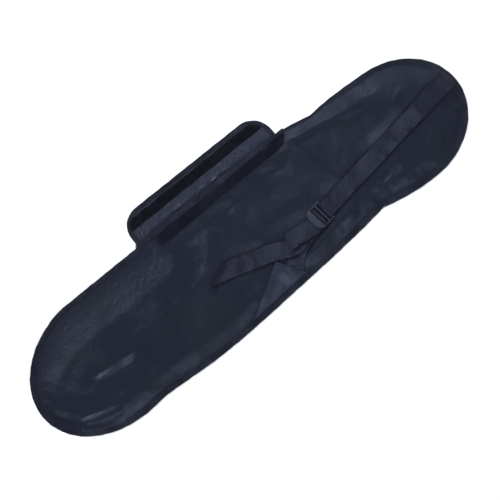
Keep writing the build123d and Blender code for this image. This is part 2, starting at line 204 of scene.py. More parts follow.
def inside(points, rim):
    """True where a point is inside an outline, seen from above."""
    low_side, high_side = (rim[side] for side in (rim[:, 1] < 0, rim[:, 1] >= 0))
    low_side, high_side = (side[np.argsort(side[:, 0])] for side in (low_side, high_side))
    low_y = np.interp(points[:, 0], low_side[:, 0], low_side[:, 1], left=1, right=1)
    high_y = np.interp(points[:, 0], high_side[:, 0], high_side[:, 1], left=-1, right=-1)
    return (points[:, 1] > low_y) & (points[:, 1] < high_y)


def headings(path):
    """Unit steps along a path, one for each of its points."""
    steps = np.gradient(path, axis=0)
    return steps / np.linalg.norm(steps, axis=1)[:, None]


def inward(rim):
    """Unit steps to the left of a path, which is inwards on an outline."""
    step = headings(rim[:, :2])
    return np.stack([-step[:, 1], step[:, 0]], axis=1)


def flat_vectors(plan):
    """Vectors given in plan, with no height."""
    return np.column_stack([plan, np.zeros(len(plan))])


def read_points(piece):
    """Places of a piece's mesh points."""
    return np.array([v.co[:] for v in piece.data.vertices])


def write_points(piece, points):
    """Move a piece's mesh points."""
    piece.data.vertices.foreach_set("co", np.asarray(points, dtype=np.float32).ravel())
    piece.data.update()


def pick(piece):
    """Select one piece and make it the active one."""
    bpy.ops.object.select_all(action="DESELECT")
    piece.select_set(True)
    bpy.context.view_layer.objects.active = piece


def apply_modifier(piece, kind, **settings):
    """Add a modifier, set it, and apply it."""
    pick(piece)
    modifier = piece.modifiers.new(kind.lower(), kind)
    for name, value in settings.items():
        setattr(modifier, name, value)
    bpy.ops.object.modifier_apply(modifier=modifier.name)


def cloth_panel(name, rim):
    """A flat quad mesh that fills an outline, its border laid along the outline."""
    low, high = rim.min(0), rim.max(0)
    size, middle = high - low, (low + high) / 2
    bpy.ops.object.select_all(action="DESELECT")
    bpy.ops.mesh.primitive_grid_add(
        x_subdivisions=int(size[0] / cloth_cell), y_subdivisions=int(size[1] / cloth_cell),
        size=1, location=(middle[0], middle[1], 0),
    )
    panel = bpy.context.object
    panel.name = name
    panel.scale = (size[0], size[1], 1)
    bpy.ops.object.transform_apply(location=True, rotation=True, scale=True)
    points = read_points(panel)
    too_near = distance_to(points, rim) < panel_cover + 0.35 * cloth_cell
    outside = ~inside(points, rim) | too_near
    build = bmesh.new()
    build.from_mesh(panel.data)
    build.verts.ensure_lookup_table()
    bmesh.ops.delete(build, geom=[v for v, out in zip(build.verts, outside) if out], context="VERTS")
    border_line = rim + inward(rim) * panel_cover
    for vertex in build.verts:
        if vertex.is_boundary:
            nearest = border_line[((border_line - np.array(vertex.co[:2])) ** 2).sum(1).argmin()]
            vertex.co.x, vertex.co.y = nearest
    bmesh.ops.remove_doubles(build, verts=build.verts, dist=0.3 * cloth_cell)
    bmesh.ops.dissolve_degenerate(build, dist=0.06 * cloth_cell, edges=build.edges)
    many_sided = [face for face in build.faces if len(face.verts) > 4]
    bmesh.ops.triangulate(build, faces=many_sided)
    build.to_mesh(panel.data)
    build.free()
    return panel


def add_crease(points, start, end, left_reach, right_reach, lift):
    """A folded ridge between two places, with a slope of its own on each side."""
    start, end = np.array(start), np.array(end)
    run = end - start
    length = np.linalg.norm(run)
    run = run / length
    reach = points[:, :2] - start
    share = reach @ run / length
    side = reach @ np.array([-run[1], run[0]])
    slope = np.where(side > 0, 1 - side / left_reach, 1 + side / right_reach)
    fade = smooth(share, -0.12, 0.15) * (1 - smooth(share, 0.85, 1.12))
    points[:, 2] += lift * np.clip(slope, 0, 1) * fade


sewn_rim = rim_of("back_panel", "perimeter_binding")
in_mouth = (sewn_rim[:, 0] > mouth_low[0]) & (sewn_rim[:, 0] < mouth_high[0]) & (sewn_rim[:, 1] > 0)
after_mouth = np.flatnonzero(in_mouth)[-1] + 1
sewn_edge = np.roll(sewn_rim, -after_mouth, axis=0)[: (~in_mouth).sum()]


def sewn_height(points):
    """Height that the front panel is held at, before its middle is let go."""
    along, across = points[:, 0], points[:, 1]
    high_foot = smooth(across, 0.0, 0.07) * (1 - smooth(along, -0.17, -0.06))
    from_edge = distance_to(points, sewn_edge) / (1 + high_foot_slack * high_foot)
    rise = smooth(from_edge, crown_start, crown_inset)
    near_mouth = smooth(across, 0.080, 0.112)
    near_mouth *= smooth(along, mouth_low[0] + 0.02, mouth_low[0] + 0.06)
    near_mouth *= 1 - smooth(along, mouth_high[0] - 0.06, mouth_high[0] - 0.02)
    crown = (sleeve_top - crown_slack - seam_top) * rise
    mouth_lift = 0.0039 + 0.0005 * ripple(along, 0.09, 2)
    return seam_top - 0.0004 + crown + near_mouth * mouth_lift


def settle_cloth(piece, held, frames, grow, press, bend, seed):
    """Let a held panel buckle: the cloth is a little larger than the place it is sewn into."""
    group = piece.vertex_groups.new(name="held")
    group.add([int(i) for i in np.flatnonzero(held)], 1.0, "REPLACE")
    stirred = read_points(piece)
    for i in np.flatnonzero(~held):
        x, y = stirred[i, :2]
        stirred[i, 2] += 0.0014 * noise.noise(Vector((x * 11, y * 17, seed)))
    write_points(piece, stirred)
    bpy.context.view_layer.objects.active = piece
    modifier = piece.modifiers.new("settle", "CLOTH")
    cloth = modifier.settings
    cloth.quality = 5
    cloth.mass = 0.25
    cloth.tension_stiffness = 25
    cloth.compression_stiffness = 25
    cloth.shear_stiffness = 12
    cloth.bending_stiffness = bend
    cloth.air_damping = 3
    cloth.vertex_group_mass = "held"
    cloth.shrink_min = -grow
    cloth.use_pressure = True
    cloth.uniform_pressure_force = press
    cloth.effector_weights.gravity = 0.0
    modifier.collision_settings.use_collision = False
    for step in range(1, frames + 1):
        bpy.context.scene.frame_set(step)
    evaluated = piece.evaluated_get(bpy.context.evaluated_depsgraph_get())
    settled = np.array([v.co[:] for v in evaluated.data.vertices])
    piece.modifiers.remove(modifier)
    bpy.context.scene.frame_set(1)
    write_points(piece, settled)


hook_start = np.array([-0.1355, 0.1165])
hook_end = np.array([0.1985, 0.1245])
hook_width = 0.020
front_rim = rim_of("back_panel")
front_cloth = cloth_panel("front_cloth", front_rim)
points = read_points(front_cloth)
points[:, 2] = sewn_height(points)
write_points(front_cloth, points)
held = distance_to(points, sewn_edge) < tape_cover
held |= points[:, 1] > mouth_high[1] - mouth_tape_width
held |= distance_to(points, straight_run(hook_start, hook_end, 0.003)) < hook_width / 2
settle_cloth(front_cloth, held, frames=13, grow=0.012, press=0.03, bend=0.9, seed=5)
front_cloth.vertex_groups.clear()
apply_modifier(front_cloth, "SUBSURF", levels=1, render_levels=1)

# What the cloth keeps of its buckles: no broad bulge, and less of them where it is pulled taut.
points = read_points(front_cloth)
flat_height = sewn_height(points)
from_seam = distance_to(points, sewn_edge)
puffed = points[:, 2] - flat_height
ring_count, ring_reach, buckles_kept = 12, 0.15, 0.65
ring_edges = np.linspace(0, ring_reach, ring_count + 1)
ring = np.clip(np.digitize(from_seam, ring_edges) - 1, 0, ring_count - 1)
mean_puff = np.array([puffed[ring == k].mean() if (ring == k).any() else 0.0 for k in range(ring_count)])
puffed -= np.interp(from_seam, (ring_edges[:-1] + ring_edges[1:]) / 2, mean_puff)
along, across = points[:, 0], points[:, 1]
calm = 1 - 0.90 * smooth(across, -0.02, 0.07) * (1 - smooth(along, -0.19, -0.05))
low_calm = 0.45 * smooth(-across, 0.04, 0.08)
calm *= 1 - low_calm * (1 - smooth(along, 0.18, 0.30)) * smooth(along, -0.4, -0.3)
calm *= 1 - 0.6 * smooth(across, 0.05, 0.09) * smooth(along, 0.19, 0.24)
points[:, 2] = flat_height + puffed * calm * buckles_kept

# Folds that it keeps from being packed flat. Each has its two ends, the reach of its left and right slopes,
# and its height.
for crease in (
    ((0.190, 0.116), (0.345, 0.086), 0.036, 0.018, 0.0056),        # from the mouth's head end to the waist
    ((0.206, 0.116), (0.228, -0.010), 0.034, 0.0045, 0.0022),      # across the sleeve from the same corner
    ((0.352, -0.030), (0.326, -0.106), 0.010, 0.022, 0.0016),      # from the strap to the head's low side
    ((-0.404, -0.030), (-0.310, -0.040), 0.017, 0.045, 0.0054),    # in the middle of the foot
    ((-0.512, -0.024), (-0.470, -0.080), 0.014, 0.026, 0.0052),    # round the foot's low end
    ((-0.474, -0.076), (-0.400, -0.100), 0.014, 0.024, 0.0058),    # the same, further on
    ((0.402, 0.040), (0.436, 0.058), 0.008, 0.016, 0.0014),        # on the head, high side of the strap
    ((0.430, -0.052), (0.470, -0.040), 0.016, 0.008, 0.0014),      # on the head, low side of the strap
    ((0.078, -0.096), (0.215, -0.074), 0.040, 0.024, 0.0054),      # along the low side, beside the buckle
):
    add_crease(points, *crease)

# The strap and the adjuster lie on the cloth and keep it from sinking away under them.
strap_way = (fixed_bar - strap_root)[:2]
strap_way /= np.linalg.norm(strap_way)
strap_side = np.array([-strap_way[1], strap_way[0]])
strap_line = straight_run(strap_root[:2] + strap_way * 0.02, fixed_bar[:2], 0.004)
tail_line = even_steps([
    (0.136, -0.045), (0.100, -0.0455), (0.066, -0.045), (0.029, -0.040), (-0.008, -0.028), (-0.047, -0.015),
    (-0.080, -0.010),
], 0.004, closed=False)
for line in (strap_line, tail_line):
    under = 1 - smooth(distance_to(points, line), 0.006, 0.046)
    points[:, 2] += np.clip(cloth_ceiling - 0.0012 - points[:, 2], 0, 1) * under * 0.7

# Its crests are pressed down under the straps' height, and its hollows stay over the back panel.
crest_start, cloth_floor = 0.0098, 0.0019
crest_room = cloth_ceiling - crest_start
over = np.clip(points[:, 2] - crest_start, 0, 1)
points[:, 2] = np.minimum(points[:, 2], crest_start) + crest_room * np.tanh(over / crest_room)
points[:, 2] = np.maximum(points[:, 2], cloth_floor)
write_points(front_cloth, points)
apply_modifier(front_cloth, "SOLIDIFY", thickness=cloth_thickness, offset=-1)

cloth_tree = kdtree.KDTree(len(points))
for i, point in enumerate(points):
    cloth_tree.insert((point[0], point[1], 0), i)
cloth_tree.balance()


def on_cloth(places, neighbours=4):
    """Height of the front panel's top at places seen from above, evened out over some neighbours."""
    heights = []
    softness = 0.001 * neighbours / 8
    for x, y in np.asarray(places)[:, :2]:
        near = cloth_tree.find_n((x, y, 0), neighbours)
        weights = np.array([1 / (found[2] + softness) for found in near])
        near_heights = points[[found[1] for found in near], 2]
        heights.append((weights * near_heights).sum() / weights.sum())
    return np.array(heights)


# The back panel lies on the floor, puckered along its seam and lightly wrinkled. Past the mouth it carries
# on as the flap, which has ragged little folds beside the mouth, where it was folded, and shallow dents.
back_rim = rim_of("back_panel", "flap_cloth")
back_cloth = cloth_panel("back_cloth", back_rim)
apply_modifier(back_cloth, "SUBSURF", levels=1, render_levels=1)
back_points = read_points(back_cloth)
on_flap = smooth(back_points[:, 1], 0.137, 0.146)
back_points[:, 2] = 0.0006 + 0.0009 * on_flap
from_back_seam = distance_to(back_points, back_rim)
for i, (x, y) in enumerate(back_points[:, :2].copy()):
    pucker = noise.noise(Vector((x * 48, y * 48, 3))) * (1 - smooth(from_back_seam[i], 0.012, 0.040))
    wrinkle = max(0.0, noise.noise(Vector((x * 13, y * 21, 8)))) * smooth(from_back_seam[i], 0.012, 0.05)
    lift = 0.0005 * (1 + pucker) * 0.6 + 0.0024 * wrinkle
    fold = 1 - abs(noise.noise(Vector((x * 85 + y * 40, y * 130 - x * 22, 11)))) * 5.0
    ragged = (1 - smooth(y, 0.146, 0.154)) * smooth(y, 0.138, 0.143) * smooth(0.12 - abs(x + 0.01), 0, 0.05)
    dent = noise.noise(Vector((x * 90, y * 25, 21)))
    flap_lift = 0.0016 * max(0.0, fold) * ragged + 0.00035 * dent
    panel_share = 1 if y < 0.12 else 0.3
    back_points[i, 2] += lift * (1 - on_flap[i]) * panel_share + flap_lift * on_flap[i]
back_points[:, 2] = np.maximum(back_points[:, 2], cloth_thickness)
write_points(back_cloth, back_points)
apply_modifier(back_cloth, "SOLIDIFY", thickness=cloth_thickness, offset=0)


def make_node(tree, kind, inputs=None, **settings):
    """Add a shader node; an input given as a socket is linked, any other is set."""
    node = tree.nodes.new(kind)
    for name, value in settings.items():
        setattr(node, name, value)
    for name, value in (inputs or {}).items():
        if isinstance(value, bpy.types.NodeSocket):
            tree.links.new(value, node.inputs[name])
        else:
            node.inputs[name].default_value = value
    return node


def maths(tree, operation, a, b=0.0, c=0.0):
    """Output of a new Math node; each input is a socket or a number."""
    return make_node(tree, "ShaderNodeMath", {0: a, 1: b, 2: c}, operation=operation).outputs[0]


def shader_group(name, inputs, outputs):
    """A new shader node group with its input values and output names."""
    group = bpy.data.node_groups.new(name, "ShaderNodeTree")
    for socket_name, value in inputs.items():
        kind = "NodeSocketVector" if value is None else "NodeSocketFloat"
        socket = group.interface.new_socket(socket_name, in_out="INPUT", socket_type=kind)
        if value is not None:
            socket.default_value = value
    for socket_name in outputs:
        group.interface.new_socket(socket_name, in_out="OUTPUT", socket_type="NodeSocketFloat")
    return group, group.nodes.new("NodeGroupInput"), group.nodes.new("NodeGroupOutput")


# Woven threads: bumps where warp and weft cross, slanted into chevrons when the bands have a slant.
woven_threads, given, made = shader_group(
    "woven_threads", {"Vector": None, "Threads": 900.0, "Band": 0.005, "Slant": 0.0}, ("Height", "Shade"))
place = make_node(woven_threads, "ShaderNodeSeparateXYZ", {"Vector": given.outputs["Vector"]})
zigzag = maths(woven_threads, "PINGPONG", place.outputs["Y"], given.outputs["Band"])
slid = maths(woven_threads, "MULTIPLY_ADD", zigzag, given.outputs["Slant"], place.outputs["X"])
turns = maths(woven_threads, "MULTIPLY", given.outputs["Threads"], pi)
warp = maths(woven_threads, "SINE", maths(woven_threads, "MULTIPLY", slid, turns))
weft = maths(woven_threads, "SINE", maths(woven_threads, "MULTIPLY", place.outputs["Y"], turns))
crossing = maths(woven_threads, "MULTIPLY_ADD", maths(woven_threads, "MULTIPLY", warp, weft), 0.5, 0.5)
fuzz = make_node(woven_threads, "ShaderNodeTexNoise", {"Vector": given.outputs["Vector"], "Scale": 700.0})
height = maths(woven_threads, "MULTIPLY_ADD", fuzz.outputs["Fac"], 0.3, crossing)
woven_threads.links.new(height, made.inputs["Height"])
shade = maths(woven_threads, "MULTIPLY", crossing, fuzz.outputs["Fac"])
woven_threads.links.new(shade, made.inputs["Shade"])

# Wear and painted sheen: broad patches where the finish has dulled, fine streaks, and crinkles. The patches
# and streaks also lighten the tone as painted sheen.
cloth_wear_and_sheen, given, made = shader_group(
    "cloth_wear_and_sheen", {"Vector": None, "Patch": 9.0, "Streak": 60.0, "Crinkle": 55.0},
    ("Patches", "Streaks", "Crinkles"))
patches = make_node(cloth_wear_and_sheen, "ShaderNodeTexNoise", {
    "Vector": given.outputs["Vector"], "Scale": given.outputs["Patch"], "Detail": 5.0, "Roughness": 0.55,
    "Distortion": 0.6})
clear_patches = make_node(cloth_wear_and_sheen, "ShaderNodeMapRange", {
    "Value": patches.outputs["Fac"], "From Min": 0.38, "From Max": 0.68})
cloth_wear_and_sheen.links.new(clear_patches.outputs["Result"], made.inputs["Patches"])
streak_stretch = make_node(cloth_wear_and_sheen, "ShaderNodeMapping", {
    "Vector": given.outputs["Vector"], "Rotation": (0, 0, radians(51.4)), "Scale": (6.0, 1.0, 1.0)},
    vector_type="TEXTURE")
streaks = make_node(cloth_wear_and_sheen, "ShaderNodeTexNoise", {
    "Vector": streak_stretch.outputs["Vector"], "Scale": given.outputs["Streak"], "Detail": 3.0})
clear_streaks = make_node(cloth_wear_and_sheen, "ShaderNodeMapRange", {
    "Value": streaks.outputs["Fac"], "From Min": 0.42, "From Max": 0.72})
cloth_wear_and_sheen.links.new(clear_streaks.outputs["Result"], made.inputs["Streaks"])
crinkles = make_node(cloth_wear_and_sheen, "ShaderNodeTexNoise", {
    "Vector": given.outputs["Vector"], "Scale": given.outputs["Crinkle"], "Detail": 4.0, "Roughness": 0.5})
ridged = maths(cloth_wear_and_sheen, "ABSOLUTE", maths(cloth_wear_and_sheen, "SUBTRACT", crinkles.outputs["Fac"], 0.5))
cloth_wear_and_sheen.links.new(ridged, made.inputs["Crinkles"])


def fabric(name, dark, light, roughness, threads, weave_depth, crinkle_depth, on_uv=True, band=0.005,
           slant=0.0, patch=9.0, crinkle=55.0, specular=0.3, sheen=0.0, shine=0.12, weave_show=0.5,
           edge_shade_half_width=0.0, ribs=0.0):
    """A woven fabric: two tones mixed by its weave and by patches and streaks of dulled finish and painted
    sheen, with bumps from its threads and crinkles.

    The edge-shade width is half the width of a tape whose tone darkens towards its edges as painted shade,
    and `ribs` the depth of gathers across it.
    """
    paint = bpy.data.materials.new(name)
    paint.use_nodes = True
    tree = paint.node_tree
    shader = tree.nodes["Principled BSDF"]
    source = make_node(tree, "ShaderNodeTexCoord")
    where = source.outputs["UV" if on_uv else "Object"]
    weave = make_node(tree, "ShaderNodeGroup", node_tree=woven_threads)
    wear_and_sheen = make_node(tree, "ShaderNodeGroup", node_tree=cloth_wear_and_sheen)
    for group, name_in, value in (
        (weave, "Threads", threads), (weave, "Band", band), (weave, "Slant", slant),
        (wear_and_sheen, "Patch", patch), (wear_and_sheen, "Crinkle", crinkle),
    ):
        group.inputs[name_in].default_value = value
    tree.links.new(where, weave.inputs["Vector"])
    tree.links.new(source.outputs["Object"], wear_and_sheen.inputs["Vector"])
    # Patches and streaks lighten the tone: partly dulled finish, partly painted sheen.
    wear_and_sheen_mask = maths(tree, "MULTIPLY_ADD", wear_and_sheen.outputs["Streaks"], 0.45, wear_and_sheen.outputs["Patches"])
    part_wear_and_sheen_mask = maths(tree, "MULTIPLY", wear_and_sheen_mask, 0.6)
    toned = maths(tree, "MULTIPLY_ADD", weave.outputs["Shade"], weave_show, part_wear_and_sheen_mask)
    # Painted shade: the tone darkens towards both edges of the tape, where they meet what it lies on.
    if edge_shade_half_width:
        split = make_node(tree, "ShaderNodeSeparateXYZ", {"Vector": where})
        painted_edge_shade = make_node(tree, "ShaderNodeMapRange", {
            "Value": maths(tree, "ABSOLUTE", split.outputs["Y"]), "From Min": edge_shade_half_width - 0.0028,
            "From Max": edge_shade_half_width - 0.0004, "To Min": 1.0, "To Max": 0.0})
        toned = maths(tree, "MULTIPLY", toned, painted_edge_shade.outputs["Result"])
    tones = make_node(tree, "ShaderNodeMix", {"Factor": toned}, data_type="RGBA", clamp_factor=True)
    tones.inputs[6].default_value = (*dark, 1)
    tones.inputs[7].default_value = (*light, 1)
    tree.links.new(tones.outputs[2], shader.inputs["Base Color"])
    dulled = make_node(tree, "ShaderNodeMapRange", {
        "Value": wear_and_sheen_mask, "To Min": roughness + shine, "To Max": roughness - shine})
    tree.links.new(dulled.outputs["Result"], shader.inputs["Roughness"])
    fine = make_node(tree, "ShaderNodeBump", {
        "Height": weave.outputs["Height"], "Strength": 1.0, "Distance": weave_depth})
    coarse = make_node(tree, "ShaderNodeBump", {
        "Height": wear_and_sheen.outputs["Crinkles"], "Strength": 1.0, "Distance": crinkle_depth,
        "Normal": fine.outputs["Normal"]})
    if ribs:
        squeezed = make_node(tree, "ShaderNodeMapping", {
            "Vector": source.outputs["Object"], "Scale": (1, 0.14, 1)})
        gathers = make_node(tree, "ShaderNodeTexNoise", {
            "Vector": squeezed.outputs["Vector"], "Scale": 260.0})
        coarse = make_node(tree, "ShaderNodeBump", {
            "Height": gathers.outputs["Fac"], "Strength": 1.0, "Distance": ribs,
            "Normal": coarse.outputs["Normal"]})
    tree.links.new(coarse.outputs["Normal"], shader.inputs["Normal"])
    shader.inputs["Specular IOR Level"].default_value = specular
    shader.inputs["Specular Tint"].default_value = (0.70, 0.78, 1.0, 1)
    shader.inputs["Sheen Weight"].default_value = sheen
    shader.inputs["Sheen Roughness"].default_value = 0.5
    return paint


coated_cloth = fabric(
    "coated_cloth", (0.0036, 0.0050, 0.0076), (0.0112, 0.0128, 0.0235), 0.40, threads=2400,
    weave_depth=0.00004, crinkle_depth=0.0011, on_uv=False, specular=0.22)
flap_lining = fabric(
    "flap_lining", (0.0056, 0.0062, 0.0130), (0.0150, 0.0163, 0.0310), 0.36, threads=1300,
    weave_depth=0.00012, crinkle_depth=0.0012, on_uv=False, crinkle=90.0, patch=30.0, specular=0.34,
    ribs=0.0016)


def finish_piece(piece, paints, body, angle=None):
    """Smooth shading, materials and body of a finished piece."""
    pick(piece)
    if angle is None:
        bpy.ops.object.shade_smooth()
    else:
        bpy.ops.object.shade_smooth_by_angle(angle=radians(angle))
    for paint in paints:
        piece.data.materials.append(paint)
    if body:
        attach(piece, body)


finish_piece(front_cloth, [coated_cloth], "bag")
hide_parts("front_panel", "front_border_foot", "front_border_body")

finish_piece(back_cloth, [coated_cloth, flap_lining], None)
for face in back_cloth.data.polygons:
    face.material_index = int(face.normal.z > 0 and face.center.y > 0.134)
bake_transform(back_cloth)
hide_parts("back_panel", "flap_cloth")

# ---------------------------------------------------------------------------------------------------------
# Binding: ribbed woven tape, folded over both panels' edges all round and sewn through with one row of
# thread. A little slack, so it puckers between stitches and wanders by a fraction of a millimetre.
binding_width = 0.012
binding_top = seam_top + tape_over_seam
stitch_inset = 0.0095
stitch_sink = 0.0001           # the thread is pulled this far into the tape


def add_piece(name, verts, faces):
    """A new object from mesh points and faces."""
    mesh = bpy.data.meshes.new(name)
    mesh.from_pydata(verts, [], faces)
    piece = bpy.data.objects.new(name, mesh)
    bpy.context.collection.objects.link(piece)
    return piece


def face_outwards(mesh, merge_distance=None):
    """Turn a mesh's faces outwards, or upwards on an open sheet, its doubles merged first."""
    build = bmesh.new()
    build.from_mesh(mesh)
    if merge_distance:
        bmesh.ops.remove_doubles(build, verts=build.verts, dist=merge_distance)
    bmesh.ops.recalc_face_normals(build, faces=build.faces)
    is_open = any(edge.is_boundary for edge in build.edges)
    if is_open and sum(face.normal.z for face in build.faces) < 0:
        bmesh.ops.reverse_faces(build, faces=build.faces)
    build.to_mesh(mesh)
    build.free()


def sweep(name, origins, sides, ups, profile):
    """A closed strip: a profile (one for all stations, or one each) carried along a line of places."""
    origins, sides, ups = (np.asarray(a, dtype=float) for a in (origins, sides, ups))
    count = len(origins)
    profile = np.broadcast_to(profile, (count,) + np.shape(profile)[-2:])
    around = profile.shape[1]
    verts = origins[:, None] + sides[:, None] * profile[..., :1] + ups[:, None] * profile[..., 1:]
    faces = []
    for ring_start in range(0, (count - 1) * around, around):
        for k in range(around):
            near, far = ring_start + k, ring_start + (k + 1) % around
            faces.append((near, far, far + around, near + around))
    faces += [tuple(range(around))[::-1], tuple(range((count - 1) * around, count * around))]
    piece = add_piece(name, verts.reshape(-1, 3).tolist(), faces)
    place = np.stack([np.repeat(along_path(origins), around), profile[..., 0].ravel()], axis=1)
    corners = np.array([loop.vertex_index for loop in piece.data.loops])
    strip_map = piece.data.uv_layers.new(name="along_the_strip")
    strip_map.data.foreach_set("uv", place[corners].astype(np.float32).ravel())
    face_outwards(piece.data)
    return piece


def folded_tape(name, line, low, high, width, seed):
    """Binding along a line of outer edge places: a soft folded profile that reaches `width` inwards."""
    marks = np.arange(len(line)) * np.linalg.norm(line[1] - line[0])
    turned_up = np.tile((0, 0, 1.0), (len(line), 1))
    puff = 1 + 0.10 * ripple(marks, 0.008, seed) + 0.08 * ripple(marks, 0.06, seed + 1)
    reach = width + 0.0005 * ripple(marks, 0.05, seed + 2)
    out = 0.0004 * ripple(marks, 0.034, seed + 3)
    across = np.array([1.0, 0.99, 0.80, 0.55, 0.30, 0.12, 0.03, 0.0, 0.03, 0.12, 0.5, 1.0])
    share = np.array([0.70, 0.93, 0.90, 1.0, 1.0, 0.94, 0.75, 0.5, 0.22, 0.04, 0.0, 0.0])
    profile = np.empty((len(line), len(across), 2))
    profile[..., 0] = across * (reach + out)[:, None] - out[:, None]
    upper = share > 0.5
    profile[..., 1] = low + (high - low) * np.where(upper, 0.5 + (share - 0.5) * puff[:, None], share)
    origins = line if line.shape[1] > 2 else flat_vectors(line)
    return sweep(name, origins, flat_vectors(inward(line)), turned_up, profile)


# One stitch: a small six-sided bead. Its points and faces are put in a fixed order, because the primitive
# gives them in one that changes from run to run.
bpy.ops.object.select_all(action="DESELECT")
bpy.ops.mesh.primitive_uv_sphere_add(segments=6, ring_count=4, radius=1)
one_stitch = bpy.context.object
stitch_points = read_points(one_stitch)
fixed_order = np.lexsort(np.round(stitch_points, 4).T)
stitch_points = stitch_points[fixed_order]
new_index = np.argsort(fixed_order).tolist()
stitch_faces = []
for face in one_stitch.data.polygons:
    corners = [new_index[i] for i in face.vertices]
    first = corners.index(min(corners))
    stitch_faces.append(corners[first:] + corners[:first])
stitch_faces.sort()
bpy.data.objects.remove(one_stitch)


def stitches(name, line, pitch=0.0036, length=0.0026, width=0.0006, height=0.00035):
    """A row of thread stitches along a line of places that lie on the cloth's top."""
    places = even_steps(line, pitch, closed=False)
    verts, faces = [], []
    for place, step in zip(places, headings(places)):
        side = np.cross((0, 0, 1.0), step)
        side /= np.linalg.norm(side)
        up = np.cross(step, side)
        base = len(verts)
        shape = stitch_points * (length / 2, width / 2, height)
        verts.extend((place + shape @ np.array([step, side, up])).tolist())
        faces.extend([[base + corner for corner in face] for face in stitch_faces])
    return add_piece(name, verts, faces)


def at_height(line, height):
    """A line given in plan, raised to one height."""
    return np.column_stack([line, np.full(len(line), height)])


binding_tape = fabric(
    "binding_tape", (0.0034, 0.0040, 0.0070), (0.0165, 0.0180, 0.0260), 0.72, threads=900,
    weave_depth=0.00026, crinkle_depth=0.0006, slant=0.6, band=0.003, specular=0.16, sheen=0.03, shine=0.05,
    patch=24.0)
thread = fabric(
    "thread", (0.007, 0.008, 0.011), (0.022, 0.024, 0.031), 0.6, threads=3000, weave_depth=0.0001,
    crinkle_depth=0.0, on_uv=False, specular=0.3, shine=0.05)

edge_tape = folded_tape("edge_tape", sewn_edge, 0.0, binding_top, binding_width, 1)
finish_piece(edge_tape, [binding_tape], "bag", angle=50)
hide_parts("perimeter_binding")
stitch_line = sewn_edge + inward(sewn_edge) * stitch_inset
edge_thread = stitches("edge_thread", at_height(stitch_line, binding_top - stitch_sink))
finish_piece(edge_thread, [thread], "bag")
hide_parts("perimeter_stitching")

# ---------------------------------------------------------------------------------------------------------
# Mouth: the front panel's free edge, bound with the same tape, which wanders with the slack cloth. The
# hook tape is sewn along it, a stiff strip of tiny nylon hooks.
mouth_xs = np.linspace(mouth_high[0] + 0.001, mouth_low[0] + 0.002, 190)
mouth_line = np.column_stack([mouth_xs, mouth_high[1] - 0.0004 + 0.0005 * ripple(mouth_xs, 0.07, 4)])
mouth_line = np.column_stack([mouth_line, sewn_height(mouth_line - (0, 0.003))])
mouth_tape_top = 0.0014
mouth_tape = folded_tape("mouth_tape", mouth_line, -0.0012, mouth_tape_top, binding_width, 7)
finish_piece(mouth_tape, [binding_tape], "bag", angle=50)
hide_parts("mouth_binding")
mouth_stitch_line = mouth_line - (0, stitch_inset, 0) + (0, 0, mouth_tape_top - stitch_sink)
mouth_thread = stitches("mouth_thread", mouth_stitch_line[6:-6])
finish_piece(mouth_thread, [thread], "bag")
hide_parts("mouth_stitching")


def strip_profile(width, thickness, bow=0.0):
    """Closed profile of a flat strip with soft edges; `bow` lifts its middle."""
    across = np.linspace(-0.5, 0.5, 9) * (width - 0.6 * thickness)
    lift = bow * (1 - (2 * across / width) ** 2)
    top = np.column_stack([across, lift + thickness / 2])
    bottom = np.column_stack([across, lift - thickness / 2])[::-1]
    return np.vstack([top, [(width / 2, 0)], bottom, [(-width / 2, 0)]])


def flat_tape(name, start, end, width, thickness, height_at, seed, wander=0.0005):
    """A tape sewn flat on cloth, between two places, at a height given for each."""
    step = 0.003
    line = straight_run(start, end, step)
    turned_up = np.tile((0, 0, 1.0), (len(line), 1))
    sides = flat_vectors(inward(line))
    marks = np.arange(len(line)) * step
    line = line + sides[:, :2] * (wander * ripple(marks, 0.08, seed))[:, None]
    profile = np.tile(strip_profile(width, thickness), (len(line), 1, 1))
    profile[..., 0] *= 1 + 0.02 * ripple(marks, 0.05, seed + 1)[:, None]
    return sweep(name, np.column_stack([line, height_at(line)]), sides, turned_up, profile)


hook_nylon = fabric(
    "hook_tape", (0.0014, 0.0016, 0.0032), (0.0070, 0.0074, 0.0120), 0.80, threads=900, weave_depth=0.0005,
    crinkle_depth=0.0003, specular=0.14, shine=0.06, weave_show=0.9)
hook_tape = flat_tape(
    "hook_tape", hook_start, hook_end, hook_width, 0.0011, lambda line: sewn_height(line) + 0.0007, 3)
finish_piece(hook_tape, [hook_nylon], "bag", angle=50)
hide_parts("mouth_hook_tape")

# ---------------------------------------------------------------------------------------------------------
# Flap: the back panel's cloth with tape on its three free sides and a loop tape along it. It lies open, and
# folds over the mouth.
flap_corner_left, flap_corner_right = 0.044, 0.047
flap_tape_width = 0.010
flap_cloth_mid = 0.0015
flap_stitch_inset = 0.0078
flap_tape_start = mouth_high[1] - 0.004      # its ends reach under the mouth's edge


def corner_arc(centre, radius, first, last):
    """Points of an arc in plan, between two angles in degrees."""
    angles = np.radians(np.linspace(first, last, 16))
    return np.column_stack([centre[0] + radius * np.cos(angles), centre[1] + radius * np.sin(angles)])


